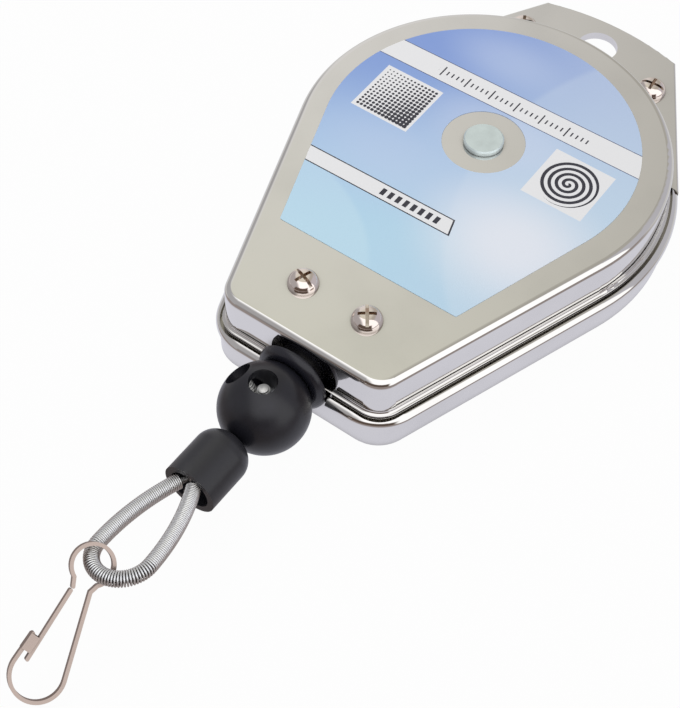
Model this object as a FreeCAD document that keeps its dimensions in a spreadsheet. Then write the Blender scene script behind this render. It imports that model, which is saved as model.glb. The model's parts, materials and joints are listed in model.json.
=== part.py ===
"""Tool balancer: a spring-wound rope drum in a pressed steel case, with a hook on its rope.

Millimetres. X is the case's width, Y points to the hanger and Z to the front face.
The origin lies on the drum's axis, on the flat back of the rear cover.
"""
import FreeCAD
import Part
import Sketcher
import math
import os
import re

from FreeCAD import Placement, Rotation, Vector

SIZES = {
    # pressed case
    "case_depth": 24.5,
    "case_radius": 51.5,
    "case_foot": 83.3,
    "case_taper": 19.7,
    "sheet_thick": 1.1,
    "cover_corner": 7.0,
    "face_edge": 2.1,
    "flange_reach": 0.95,
    "flange_thick": 0.9,
    "flange_cove": 0.85,
    "flange_edge": 0.25,
    "pan_reach": 2.0,
    "pan_corner": 10.0,
    "pan_edge": 0.7,
    # hanger plate
    "seam_drop": 0.7,
    "plate_thick": 2.4,
    "plate_reach": 3.4,
    "plate_corner": 14.0,
    "plate_edge": 2.2,
    "seam_play": 0.05,
    "seam_wide": 0.7,
    "seam_deep": 1.5,
    "plate_rim": 1.5,
    "tab_rise": 22.8,
    "tab_arc": 79.0,
    "tab_half": 22.0,
    "tab_edge": 0.6,
    "hanger_hole": 5.9,
    "hanger_rise": 12.0,
    # sticker on the face
    "sticker_radius": 43.5,
    "sticker_foot": 54.2,
    "sticker_taper": 19.0,
    "sticker_corner": 0.6,
    "sticker_thick": 0.12,
    "sticker_window": 11.4,
    "sticker_side": -0.85,
    "sticker_turn": 0.6,
    # screws
    "screw_radius": 2.0,
    "screw_head": 4.1,
    "screw_dome": 3.05,
    "screw_round": 2.8,
    "screw_slot": 0.9,
    "screw_slot_depth": 1.1,
    "screw_cross": 4.8,
    "screw_cross_depth": 2.0,
    "face_screw_side": 9.9,
    "face_screw_inset": 15.3,
    "face_turn_left": 162.0,
    "face_turn_right": 126.0,
    "face_screw_grip": 14.0,
    "tab_screw_out": 9.56,
    "tab_screw_turn": 21.0,
    "tab_turn_left": 27.0,
    "tab_turn_right": 5.0,
    "nut_radius": 4.0,
    "nut_tall": 3.2,
    # rope and its outlet guide
    "rope_radius": 1.15,
    "rope_drop": 0.25,
    "rope_clear": 0.35,
    "rope_bend": 10.0,
    "rope_inset": 3.2,
    "bend_back": 13.3,
    "barrel_radius": 7.0,
    "barrel_clear": 0.1,
    "collar_radius": 10.2,
    "collar_edge": 2.2,
    "collar_thick": 2.38,
    "collar_gap": 0.1,
    "guide_half": 14.0,
    "guide_reach": 20.3,
    "guide_back": 9.3,
    "guide_play": 0.1,
    "funnel_radius": 7.5,
    "mouth_radius": 7.4,
    "mouth_depth": 4.6,
    "notch_play": 0.4,
    # arbor, ratchet and bushes
    "arbor_radius": 4.0,
    "arbor_rear": 0.3,
    "hub_radius": 8.5,
    "socket_across": 6.0,
    "socket_depth": 8.0,
    "cap_radius": 5.5,
    "cap_tall": 1.6,
    "cap_edge": 0.35,
    "cap_grip": 1.2,
    "fit_gap": 0.05,
    "bush_neck": 5.5,
    "bush_flange": 7.5,
    "bush_lip": 0.9,
    "ratchet_radius": 11.0,
    "ratchet_thick": 1.2,
    "tooth_depth": 1.6,
    "ratchet_teeth": 12,
    "tooth_lean": 2.3,
    "tooth_play": 0.2,
    "pawl_reach": 17.0,
    "pawl_boss": 2.6,
    "pawl_pin": 1.2,
    "pawl_turn": 215.0,
    "pawl_tip_turn": 245.0,
    "pawl_tip_lean": 6.9,
    "pawl_foot": 1.9,
    "pin_proud": 0.1,
    "run_gap": 0.3,
    # drum and mainspring
    "base_play": 0.35,
    "lid_room": 1.9,
    "web_thick": 1.5,
    "drum_radius": 34.5,
    "drum_wall": 3.0,
    "groove_deep": 8.5,
    "flange_wall": 1.4,
    "groove_wide": 5.2,
    "drum_cover_thick": 1.0,
    "drum_bush": 6.0,
    "drum_screw": 1.2,
    "drum_screw_head": 1.45,
    "drum_screw_dome": 0.8,
    "drum_screw_grip": 4.0,
    "strip_thick": 0.5,
    "spring_turns": 10,
    "spring_play": 0.4,
    "wound_deep": 7.0,
    # ball stop, sleeve and ferrule
    "ball_radius": 11.9,
    "ball_gap": 0.3,
    "ball_recess": 3.7,
    "stop_radius": 4.6,
    "stop_half": 4.0,
    "stop_recess": 3.7,
    "stop_screw": 1.75,
    "stop_screw_top": 8.6,
    "screw_bite": 0.1,
    "recess_turn": 45.0,
    "sleeve_radius": 7.4,
    "sleeve_long": 17.2,
    "sleeve_dome": 5.6,
    "sleeve_bore": 5.6,
    "sleeve_cap": 4.2,
    "ferrule_half": 3.5,
    "ferrule_side": 2.1,
    "ferrule_long": 6.8,
    "end_gap": 0.3,
    # rope loop and its wire guard
    "loop_radius": 7.5,
    "loop_reach": 24.7,
    "loop_mouth": 2.25,
    "loop_side": -0.9,
    "loop_lift": 1.5,
    "loop_yaw": 4.4,
    "loop_pitch": 8.0,
    "loop_roll": 10.0,
    "guard_radius": 2.0,
    "guard_bore": 1.25,
    "guard_inset": 0.25,
    # snap hook
    "hook_thick": 0.9,
    "hook_wide": 2.4,
    "eye_radius": 4.9,
    "eye_turn": 36.0,
    "eye_gap_left": 40.0,
    "eye_gap_right": 32.0,
    "hook_pitch": 27.0,
    "hook_roll": -28.0,
    "hook_yaw": 14.5,
    "throat_down": 6.0,
    "throat_half": 2.0,
    "gate_long": 18.0,
    "gate_splay": 12.3,
    "pear_radius": 6.3,
    "pear_down": 27.1,
    "pear_side": 3.2,
    "clasp_long": 7.0,
    "clasp_lean": 15.0,
    "ear_long": 4.0,
    "ear_thick": 0.5,
    "ear_deep": 2.3,
    "ear_play": 0.12,
    "ear_root": 0.2,
    "gate_root": 0.6,
    "throat_inset": 0.4,
    "joint_gap": 0.1,
}
FOLLOWING = {
    "rope_level": "case_depth / 2 - rope_drop",
    "plate_top": "rope_level - seam_drop",
    "tab_top": "case_radius + tab_rise",
    "hanger_reach": "case_radius + hanger_rise",
    "tab_screw_side": "(case_radius + tab_screw_out) * sin(tab_screw_turn * 1 deg)",
    "tab_screw_up": "(case_radius + tab_screw_out) * cos(tab_screw_turn * 1 deg)",
    "face_screw_down": "case_foot - face_screw_inset",
    "guide_top": "case_foot - guide_reach",
    "guide_foot": "case_foot - guide_back",
    "bend_down": "case_foot - bend_back",
    "notch_half": "collar_radius + notch_play",
    "drum_base": "sheet_thick + bush_lip + fit_gap + ratchet_thick + base_play",
    "drum_top": "case_depth - sheet_thick - bush_lip - lid_room - drum_cover_thick",
    "cavity_deep": "drum_top - drum_base - web_thick",
    "cavity_radius": "drum_radius - drum_wall",
    "drum_flange": "drum_radius + groove_deep",
    "wound_radius": "drum_radius + wound_deep",
    "drum_screw_out": "drum_radius - drum_wall / 2",
}
SHEET = "Sizes"

doc = FreeCAD.newDocument("tool_balancer")
sheet = doc.addObject("Spreadsheet::Sheet", SHEET)
for row, (alias, number) in enumerate(SIZES.items(), start=1):
    sheet.set(f"A{row}", alias)
    sheet.set(f"B{row}", str(number))
    sheet.setAlias(f"B{row}", alias)
for row, (alias, formula) in enumerate(FOLLOWING.items(), start=len(SIZES) + 1):
    sheet.set(f"A{row}", alias)
    sheet.set(f"B{row}", "=" + formula)
    sheet.setAlias(f"B{row}", alias)
doc.recompute()
for alias in FOLLOWING:
    SIZES[alias] = sheet.get(alias)

parts = []


def bind(thing, prop, formula):
    """Tie a property to the sheet; size names in the formula get the sheet's name."""
    thing.setExpression(prop, re.sub(r"\b([a-z]+(?:_[a-z]+)+)\b", SHEET + r".\1", formula))


def place(thing, x="0", y="0", z="0"):
    """Tie a primitive's position to the sheet."""
    for axis, formula in (("x", x), ("y", y), ("z", z)):
        bind(thing, f"Placement.Base.{axis}", formula)


def finish_part(thing, label):
    """Give a finished sub-part its name and put it on the list to write."""
    thing.Label = label
    parts.append(thing)
    return thing


# ---------------------------------------------------------------- primitives

def rod(name, radius, low, high, x="0", y="0"):
    """A cylinder along Z between two heights."""
    rod_object = doc.addObject("Part::Cylinder", name)
    bind(rod_object, "Radius", radius)
    bind(rod_object, "Height", f"({high}) - ({low})")
    place(rod_object, x, y, low)
    return rod_object


def rod_along_y(name, radius, top, foot, x="0", z="rope_level"):
    """A cylinder along -Y between two distances below the axis."""
    rod_object = doc.addObject("Part::Cylinder", name)
    rod_object.Placement = Placement(Vector(), Rotation(Vector(1, 0, 0), 90))
    bind(rod_object, "Radius", radius)
    bind(rod_object, "Height", f"({foot}) - ({top})")
    place(rod_object, x, f"-({top})", z)
    return rod_object


def cone_along_y(name, radius_top, radius_foot, top, foot):
    """A cone round the rope's line, between two distances below the axis."""
    cone = doc.addObject("Part::Cone", name)
    cone.Placement = Placement(Vector(), Rotation(Vector(1, 0, 0), 90))
    bind(cone, "Radius1", radius_top)
    bind(cone, "Radius2", radius_foot)
    bind(cone, "Height", f"({foot}) - ({top})")
    place(cone, "0", f"-({top})", "rope_level")
    return cone


def block(name, half_wide, top, foot, low, high):
    """A box that is symmetric about X = 0."""
    box = doc.addObject("Part::Box", name)
    bind(box, "Length", f"2 * ({half_wide})")
    bind(box, "Width", f"({foot}) - ({top})")
    bind(box, "Height", f"({high}) - ({low})")
    place(box, f"-({half_wide})", f"-({foot})", low)
    return box


def fuse(name, pieces):
    if len(pieces) == 1:
        return pieces[0]
    union = doc.addObject("Part::MultiFuse", name)
    union.Shapes = pieces
    union.Refine = True
    return union


def cut(name, base, tools):
    result = doc.addObject("Part::Cut", name)
    result.Base = base
    result.Tool = fuse(name + "_tools", tools)
    result.Refine = True
    return result


def ring(label, outer, inner, low, high):
    """A plain bush or washer on the drum's axis."""
    body = rod(label + "_blank", outer, low, high)
    bore = rod(label + "_bore", inner, f"{low} - 1", f"{high} + 1")
    return finish_part(cut(label, body, [bore]), label)


# ------------------------------------------------------------ case outlines

def outline_points(grow, radius, foot, taper, corner):
    """Where the case outline's arcs start and end; grow offsets the whole outline."""
    angle = math.radians(taper)
    big = radius + grow
    corner_y = -(foot + grow) + corner
    corner_x = (big - corner + corner_y * math.sin(angle)) / math.cos(angle)
    lean = Vector(math.cos(angle), -math.sin(angle), 0)
    shoulder = lean * big
    hip = Vector(corner_x, corner_y, 0) + lean * corner
    return big, shoulder, hip, Vector(corner_x, corner_y, 0)


def outline_wire(grow, radius, foot, taper, corner):
    """A round top, straight tapering sides and a straight foot with round corners."""
    big, shoulder, hip, centre = outline_points(grow, radius, foot, taper, corner)

    def mirror(point):
        return Vector(-point.x, point.y, point.z)

    heel = Vector(centre.x, centre.y - corner, 0)
    half_turn = math.radians(270 + (360 - taper)) / 2
    knee = centre + Vector(math.cos(half_turn), math.sin(half_turn), 0) * corner
    edges = [
        Part.Arc(shoulder, Vector(0, big, 0), mirror(shoulder)).toShape(),
        Part.makeLine(mirror(shoulder), mirror(hip)),
        Part.Arc(mirror(hip), mirror(knee), mirror(heel)).toShape(),
        Part.makeLine(mirror(heel), heel),
        Part.Arc(heel, knee, hip).toShape(),
        Part.makeLine(hip, shoulder),
    ]
    return edges


def signed_sum(terms):
    """A sum of signed sizes, as a number and as a formula."""
    number = sum(sign * SIZES[size] for sign, size in terms)
    formula = "".join(f" {'+' if sign > 0 else '-'} {size}" for sign, size in terms)
    return number, formula


def outline_sketch(body, name, level, reach, corner, offset=()):
    """The case outline as a sketch whose radii, foot and taper follow the sheet.

    reach moves the sides out from the front cover's wall; offset moves sides and corners together.
    """
    sketch = body.newObject("Sketcher::SketchObject", name)
    floor = [feature for feature in body.Origin.OriginFeatures if feature.Role == "XY_Plane"][0]
    sketch.AttachmentSupport = (floor, [""])
    sketch.MapMode = "FlatFace"
    bind(sketch, "AttachmentOffset.Base.z", level)
    grow_now, grow_text = signed_sum(reach + offset)
    offset_now, offset_text = signed_sum(offset)
    corner_now = SIZES[corner] + offset_now
    edges = outline_wire(grow_now, SIZES["case_radius"], SIZES["case_foot"],
                         SIZES["case_taper"], corner_now)
    for edge in edges:
        curve = edge.Curve
        if isinstance(curve, Part.Circle):
            start = math.atan2(edge.Vertexes[0].Y - curve.Center.y, edge.Vertexes[0].X - curve.Center.x)
            finish = math.atan2(edge.Vertexes[-1].Y - curve.Center.y, edge.Vertexes[-1].X - curve.Center.x)
            if finish < start:
                finish += 2 * math.pi
            circle = Part.Circle(curve.Center, Vector(0, 0, 1), curve.Radius)
            sketch.addGeometry(Part.ArcOfCircle(circle, start, finish), False)
        else:
            sketch.addGeometry(Part.LineSegment(edge.Vertexes[0].Point, edge.Vertexes[-1].Point), False)
    sketch.addConstraint(Sketcher.Constraint("Coincident", 0, 3, -1, 1))
    for first, second in ((0, 1), (1, 2), (2, 3), (3, 4), (4, 5), (5, 0)):
        sketch.addConstraint(Sketcher.Constraint("Tangent", first, 2, second, 1))
    sketch.addConstraint(Sketcher.Constraint("Symmetric", 2, 3, 4, 3, -2))
    sketch.addConstraint(Sketcher.Constraint("Equal", 2, 4))
    rows = (
        ("Radius", (0,), SIZES["case_radius"] + grow_now, f"case_radius{grow_text}"),
        ("Radius", (4,), corner_now, f"{corner}{offset_text}"),
        ("DistanceY", (3, 1, -1, 1), SIZES["case_foot"] + grow_now, f"case_foot{grow_text}"),
    )
    for kind, places, number, formula in rows:
        index = sketch.addConstraint(Sketcher.Constraint(kind, *places, number))
        bind(sketch, f"Constraints[{index}]", formula)
    steep = math.radians(90 - SIZES["case_taper"])
    index = sketch.addConstraint(Sketcher.Constraint("Angle", 5, steep))
    bind(sketch, f"Constraints[{index}]", "90 deg - 1 deg * case_taper")
    return sketch


def pad(body, name, sketch, length):
    feature = body.newObject("PartDesign::Pad", name)
    feature.Profile = sketch
    bind(feature, "Length", length)
    return feature


def pocket_up(body, name, sketch, length):
    """Cut from the sketch's plane towards +Z."""
    feature = body.newObject("PartDesign::Pocket", name)
    feature.Profile = sketch
    feature.Reversed = True
    bind(feature, "Length", length)
    return feature


def level_edges(shape, level):
    """Names of the edges that lie in one level."""
    names = []
    for number, edge in enumerate(shape.Edges, start=1):
        box = edge.BoundBox
        if abs(box.ZMin - level) < 1e-4 and abs(box.ZMax - level) < 1e-4:
            names.append(f"Edge{number}")
    return names


def round_level(body, name, base, level, radius, path=None):
    """Round the edges of the last feature that lie in one level, or only those along one path."""
    doc.recompute()
    names = level_edges(base.Shape, level)
    if path:
        names = [edge for edge in names if base.Shape.getElement(edge).distToShape(path)[0] < 1e-4]
    feature = body.newObject("PartDesign::Fillet", name)
    feature.Base = (base, names)
    bind(feature, "Radius", radius)
    return feature


def cover_path(grow, level):
    """The front cover's outline, grown outwards, as a path in one level."""
    path = Part.Wire(outline_wire(grow, SIZES["case_radius"], SIZES["case_foot"], SIZES["case_taper"],
                                  SIZES["cover_corner"]))
    path.translate(Vector(0, 0, level))
    return path


# ------------------------------------------------------------- pressed case

def through_bores(name):
    """The bores that the outlet guide's barrel and collar need in every shell."""
    barrel = rod_along_y(name + "_barrel", "barrel_radius + barrel_clear", "guide_foot - 4", "case_foot + 9")
    return [barrel]


def collar_notch(name):
    """The notch that lets the guide's collar and the ball sit against the case."""
    return block(name + "_notch", "notch_half", "case_foot + pan_reach", "case_foot + plate_reach + 1",
                 "plate_top - plate_thick - 1", "plate_top + flange_thick + 1")


def make_front_cover():
    body = doc.addObject("PartDesign::Body", "front_pan")
    wall = outline_sketch(body, "front_wall", "plate_top", (), "cover_corner")
    drawn = pad(body, "front_drawn", wall, "case_depth - plate_top")
    drawn = round_level(body, "front_edge", drawn, SIZES["case_depth"], "face_edge")
    inner = ((-1, "sheet_thick"),)
    inside = outline_sketch(body, "front_inside", "plate_top", (), "cover_corner", inner)
    hollow = pocket_up(body, "front_hollow", inside, "case_depth - plate_top - sheet_thick")
    inner_top = SIZES["case_depth"] - SIZES["sheet_thick"]
    hollow = round_level(body, "front_inner_edge", hollow, inner_top, "face_edge - sheet_thick")
    rim = outline_sketch(body, "front_rim", "plate_top", (), "cover_corner", ((1, "flange_reach"),))
    rim_hole = outline_sketch(body, "front_rim_hole", "plate_top", (), "cover_corner", inner)
    flange = pad(body, "front_flange", rim, "flange_thick")
    flange_top = SIZES["plate_top"] + SIZES["flange_thick"]
    flange = round_level(body, "front_cove", flange, flange_top, "flange_cove", cover_path(0, flange_top))
    rim_path = cover_path(SIZES["flange_reach"], flange_top)
    round_level(body, "front_flange_edge", flange, flange_top, "flange_edge", rim_path)
    pocket_up(body, "front_flange_hole", rim_hole, "flange_thick")
    tools = through_bores("front") + [collar_notch("front")]
    tools.append(rod("front_arbor_hole", "bush_neck", "case_depth - 4", "case_depth + 1"))
    for side in (-1, 1):
        tools.append(rod("front_screw_hole", "screw_radius", "case_depth - 4", "case_depth + 1",
                         f"{side} * face_screw_side", "-face_screw_down"))
    finish_part(cut("front_shell", body, tools), "front_cover")


def make_rear_cover():
    body = doc.addObject("PartDesign::Body", "rear_pan")
    wall = outline_sketch(body, "rear_wall", "0", ((1, "pan_reach"),), "pan_corner")
    drawn = pad(body, "rear_drawn", wall, "plate_top - plate_thick")
    drawn = round_level(body, "rear_edge", drawn, 0.0, "pan_edge")
    inside = outline_sketch(body, "rear_inside", "sheet_thick", ((1, "pan_reach"),), "pan_corner",
                            ((-1, "sheet_thick"),))
    pocket_up(body, "rear_hollow", inside, "plate_top - plate_thick - sheet_thick")
    tools = through_bores("rear")
    tools.append(rod("rear_arbor_hole", "bush_neck", "-1", "sheet_thick + 1"))
    finish_part(cut("rear_shell", body, tools), "rear_cover")


def tab_outline():
    """The hanger tab: an arched top edge and two sides that touch the plate's round rim."""
    top, arc, half = SIZES["tab_top"], SIZES["tab_arc"], SIZES["tab_half"]
    drop = arc - math.sqrt(arc ** 2 - half ** 2)
    corner = Vector(half, top - drop, 0)
    reach = SIZES["case_radius"] + SIZES["plate_reach"]
    turn = math.atan2(corner.y, corner.x) - math.acos(reach / corner.Length)
    touch = Vector(math.cos(turn), math.sin(turn), 0) * reach

    def mirror(point):
        return Vector(-point.x, point.y, 0)

    edges = [
        Part.Arc(corner, Vector(0, top, 0), mirror(corner)).toShape(),
        Part.makeLine(mirror(corner), mirror(touch)),
        Part.makeLine(mirror(touch), touch),
        Part.makeLine(touch, corner),
    ]
    return Part.Face(Part.Wire(edges))


def shape_part(label, shape):
    """A sub-part whose shape neither a sketch nor a primitive makes."""
    feature = doc.addObject("Part::Feature", label + "_shape")
    feature.Shape = shape
    return feature


def make_hanger_plate():
    body = doc.addObject("PartDesign::Body", "plate_ring")
    low = "plate_top - plate_thick"
    outside = outline_sketch(body, "plate_outside", low, ((1, "plate_reach"),), "plate_corner")
    ring_pad = pad(body, "plate_pressed", outside, "plate_thick")
    round_level(body, "plate_lip", ring_pad, SIZES["plate_top"], "plate_edge")
    seam_in = ((1, "flange_reach"), (1, "seam_play"))
    seam_out = seam_in + ((1, "seam_wide"),)
    groove = outline_sketch(body, "plate_seam", "plate_top - seam_deep", (), "cover_corner", seam_out)
    pocket_up(body, "plate_groove", groove, "seam_deep")
    core = outline_sketch(body, "plate_core", "plate_top - seam_deep", (), "cover_corner", seam_in)
    pad(body, "plate_middle", core, "seam_deep")
    tab = tab_outline().extrude(Vector(0, 0, SIZES["plate_thick"]))
    tab.translate(Vector(0, 0, SIZES["plate_top"] - SIZES["plate_thick"]))
    rims = [edge for edge in tab.Edges if edge.CenterOfMass.y > SIZES["case_radius"] * 0.7
            and abs(edge.BoundBox.ZMax - edge.BoundBox.ZMin) < 1e-6]
    tab = tab.makeFillet(SIZES["tab_edge"], rims)
    whole = fuse("plate_whole", [body, shape_part("plate_tab", tab)])
    inner = doc.addObject("PartDesign::Body", "plate_window")
    window = outline_sketch(inner, "plate_window_outline", f"{low} - 1", ((-1, "plate_rim"),), "cover_corner")
    pad(inner, "plate_window_pad", window, "plate_thick + 2")
    tools = [inner, collar_notch("plate")] + through_bores("plate")
    tools.append(rod("plate_hole", "hanger_hole", f"{low} - 1", "plate_top + 1", "0", "hanger_reach"))
    for side in (-1, 1):
        tools.append(rod("plate_screw_hole", "screw_radius", f"{low} - 1", "plate_top + 1",
                         f"{side} * tab_screw_side", "tab_screw_up"))
    tools.append(block("plate_outlet", "notch_half", "guide_top - 1", "case_foot + plate_reach + 1",
                       f"{low} - 1", "plate_top + 1"))
    finish_part(cut("plate_cut", whole, tools), "hanger_plate")


def make_sticker():
    edges = outline_wire(0, SIZES["sticker_radius"], SIZES["sticker_foot"], SIZES["sticker_taper"],
                         SIZES["sticker_corner"])
    sheet_face = Part.Face(Part.Wire(edges))
    film = sheet_face.extrude(Vector(0, 0, SIZES["sticker_thick"]))
    window = Part.makeCylinder(SIZES["sticker_window"], SIZES["sticker_thick"] * 3, Vector(0, 0, -0.1))
    turn = Rotation(Vector(0, 0, 1), SIZES["sticker_turn"])
    film.Placement = Placement(Vector(SIZES["sticker_side"], 0, 0), turn)
    film = film.cut(window)
    film.translate(Vector(0, 0, SIZES["case_depth"]))
    finish_part(shape_part("face_sticker", film), "face_sticker")


# ------------------------------------------------------------------ fasteners

def screw_shape(grip):
    """A pan head screw with a slot and a cross: its seat at the origin, its thread towards -Z."""
    radius, dome = SIZES["screw_head"], SIZES["screw_dome"]
    head = Part.makeCylinder(radius, dome)
    top_edges = [edge for edge in head.Edges if abs(edge.BoundBox.ZMin - dome) < 1e-6]
    head = head.makeFillet(SIZES["screw_round"], top_edges)
    slot, cross, deep = SIZES["screw_slot"], SIZES["screw_cross"], SIZES["screw_cross_depth"]
    grooves = ((2 * radius, slot, SIZES["screw_slot_depth"]), (cross, slot, deep), (slot, cross, deep))
    for wide, tall, down in grooves:
        head = head.cut(Part.makeBox(wide, tall, down, Vector(-wide / 2, -tall / 2, dome - down)))
    thread = Part.makeCylinder(SIZES["screw_radius"], grip, Vector(0, 0, -grip))
    return head.fuse(thread).removeSplitter()


def make_screws(label, seats, grip):
    """A pair of screws as one node; each seat is a point under the head, with the slot's turn."""
    turned = []
    for seat, turn in seats:
        screw = screw_shape(grip)
        screw.Placement = Placement(seat, Rotation(Vector(0, 0, 1), SIZES[turn]))
        turned.append(screw)
    finish_part(shape_part(label, Part.makeCompound(turned)), label)


def make_fasteners():
    side, down, front = SIZES["face_screw_side"], -SIZES["face_screw_down"], SIZES["case_depth"]
    face = [(Vector(-side, down, front), "face_turn_left"), (Vector(side, down, front), "face_turn_right")]
    make_screws("face_screws", face, SIZES["face_screw_grip"])
    side, up, top = SIZES["tab_screw_side"], SIZES["tab_screw_up"], SIZES["plate_top"]
    tab = [(Vector(-side, up, top), "tab_turn_left"), (Vector(side, up, top), "tab_turn_right")]
    grip = SIZES["plate_thick"] + SIZES["nut_tall"]
    make_screws("tab_screws", tab, grip)
    nuts = []
    for seat, _ in tab:
        hexagon = Part.makePolygon([Vector(SIZES["nut_radius"] * math.cos(math.radians(60 * k)),
                                           SIZES["nut_radius"] * math.sin(math.radians(60 * k)), 0)
                                    for k in range(7)])
        nut = Part.Face(hexagon).extrude(Vector(0, 0, SIZES["nut_tall"]))
        nut = nut.cut(Part.makeCylinder(SIZES["screw_radius"], SIZES["nut_tall"]))
        nut.translate(seat - Vector(0, 0, grip))
        nuts.append(nut)
    finish_part(shape_part("tab_nuts", Part.makeCompound(nuts)), "tab_nuts")


# --------------------------------------------------------------- outlet guide

def rounded_collar(disc):
    """Round the collar's front edge, on the ball's side."""
    doc.recompute()
    low = disc.Shape.BoundBox.YMin
    rim = [number for number, edge in enumerate(disc.Shape.Edges, 1) if edge.BoundBox.YMax - low < 1e-6]
    rounded = doc.addObject("Part::Fillet", "guide_collar_edge")
    rounded.Base = disc
    rounded.Edges = [(number, SIZES["collar_edge"], SIZES["collar_edge"]) for number in rim]
    return rounded


def make_outlet_guide():
    back = "case_foot + pan_reach + collar_gap"
    front = f"{back} + collar_thick"
    barrel = rod_along_y("guide_barrel", "barrel_radius", "guide_top", back)
    collar = rounded_collar(rod_along_y("guide_collar", "collar_radius", back, front))
    seat = block("guide_block", "guide_half", "guide_top", "guide_foot",
                 "sheet_thick + guide_play", "case_depth - sheet_thick - guide_play")
    hole = "rope_radius + rope_clear"
    bore = rod_along_y("guide_bore", hole, "guide_top - 1", f"{front} + 1")
    funnel = cone_along_y("guide_funnel", "funnel_radius", hole, "guide_top", "guide_foot")
    mouth = cone_along_y("guide_mouth", hole, "mouth_radius", f"{front} - mouth_depth", front)
    tools = [bore, funnel, mouth]
    for side in (-1, 1):
        tools.append(rod("guide_screw_hole", "screw_radius", "case_depth - face_screw_grip - 1", "case_depth",
                         f"{side} * face_screw_side", "-face_screw_down"))
    whole = fuse("guide_whole", [barrel, collar, seat])
    finish_part(cut("guide_cut", whole, tools), "outlet_guide")


# ----------------------------------------------------- arbor, ratchet, bushes

def make_arbor():
    shaft = rod("arbor_shaft", "arbor_radius", "arbor_rear", "case_depth + cap_grip")
    hub = rod("arbor_hub", "hub_radius", "drum_base + web_thick + run_gap", "drum_top - run_gap")
    across = SIZES["socket_across"] / math.sqrt(3)
    corners = [Vector(across * math.cos(math.radians(60 * k)), across * math.sin(math.radians(60 * k)), 0)
               for k in range(7)]
    socket = Part.Face(Part.makePolygon(corners)).extrude(Vector(0, 0, SIZES["socket_depth"] + 1))
    socket.translate(Vector(0, 0, SIZES["arbor_rear"] - 1))
    whole = fuse("arbor_whole", [shaft, hub])
    finish_part(cut("arbor_cut", whole, [shape_part("arbor_socket", socket)]), "arbor")


def make_arbor_cap():
    cap = rod("cap_blank", "cap_radius", "case_depth + fit_gap", "case_depth + cap_tall")
    doc.recompute()
    edge = doc.addObject("Part::Chamfer", "cap_edge")
    edge.Base = cap
    top = SIZES["case_depth"] + SIZES["cap_tall"]
    number = [n for n, e in enumerate(cap.Shape.Edges, 1) if abs(e.BoundBox.ZMin - top) < 1e-6][0]
    edge.Edges = [(number, SIZES["cap_edge"], SIZES["cap_edge"])]
    seat = rod("cap_seat", "arbor_radius", "case_depth - 1", "case_depth + cap_grip")
    finish_part(cut("cap_cut", edge, [seat]), "arbor_cap")


def make_ratchet():
    points = []
    count = int(SIZES["ratchet_teeth"])
    outer, inner = SIZES["ratchet_radius"], SIZES["ratchet_radius"] - SIZES["tooth_depth"]
    for tooth in range(count):
        start = 2 * math.pi * tooth / count
        points.append(Vector(outer * math.cos(start), outer * math.sin(start), 0))
        foot = start + math.radians(SIZES["tooth_lean"])
        points.append(Vector(inner * math.cos(foot), inner * math.sin(foot), 0))
    points.append(points[0])
    low = ratchet_level()
    wheel = Part.Face(Part.makePolygon(points)).extrude(Vector(0, 0, SIZES["ratchet_thick"]))
    wheel = wheel.cut(Part.makeCylinder(SIZES["arbor_radius"], SIZES["ratchet_thick"]))
    wheel.translate(Vector(0, 0, low))
    finish_part(shape_part("ratchet_wheel", wheel), "ratchet_wheel")


def ratchet_level():
    return SIZES["sheet_thick"] + SIZES["bush_lip"] + SIZES["fit_gap"]


def pawl_seat():
    """Where the pawl's pin stands, to the lower left of the ratchet wheel."""
    turn = math.radians(SIZES["pawl_turn"])
    return Vector(math.cos(turn), math.sin(turn), 0) * SIZES["pawl_reach"]


def make_pawl():
    """A pointed lever whose tip lies in one of the wheel's tooth gaps."""
    seat = pawl_seat()
    thick = SIZES["ratchet_thick"]
    pitch = 2 * math.pi / int(SIZES["ratchet_teeth"])
    nearest = round(math.radians(SIZES["pawl_tip_turn"]) / pitch)
    gap_turn = pitch * nearest - math.radians(SIZES["pawl_tip_lean"])
    tip_radius = SIZES["ratchet_radius"] - SIZES["tooth_depth"] / 2 + SIZES["tooth_play"]
    tip = Vector(math.cos(gap_turn), math.sin(gap_turn), 0) * tip_radius
    across = (tip - seat).cross(Vector(0, 0, 1)).normalize() * SIZES["pawl_boss"] * 0.7
    arm = Part.Face(Part.makePolygon([seat + across, tip, seat - across, seat + across]))
    pawl = Part.makeCylinder(SIZES["pawl_boss"], thick, seat).fuse(arm.extrude(Vector(0, 0, thick)))
    pawl = pawl.cut(Part.makeCylinder(SIZES["pawl_pin"] + SIZES["fit_gap"], thick, seat))
    clear = Part.makeCylinder(SIZES["ratchet_radius"] + SIZES["run_gap"], thick)
    keep = Part.makeCylinder(SIZES["pawl_boss"] * 0.9, thick, tip)
    pawl = pawl.cut(clear.cut(keep)).removeSplitter()
    pawl.translate(Vector(0, 0, ratchet_level()))
    finish_part(shape_part("pawl", pawl), "pawl")
    stand = SIZES["sheet_thick"]
    root = seat + Vector(0, 0, stand)
    pin = Part.makeCylinder(SIZES["pawl_pin"], ratchet_level() + thick + SIZES["pin_proud"] - stand, root)
    foot = Part.makeCylinder(SIZES["pawl_foot"], ratchet_level() - stand - SIZES["fit_gap"], root)
    finish_part(shape_part("pawl_pin", pin.fuse(foot).removeSplitter()), "pawl_pin")


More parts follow.
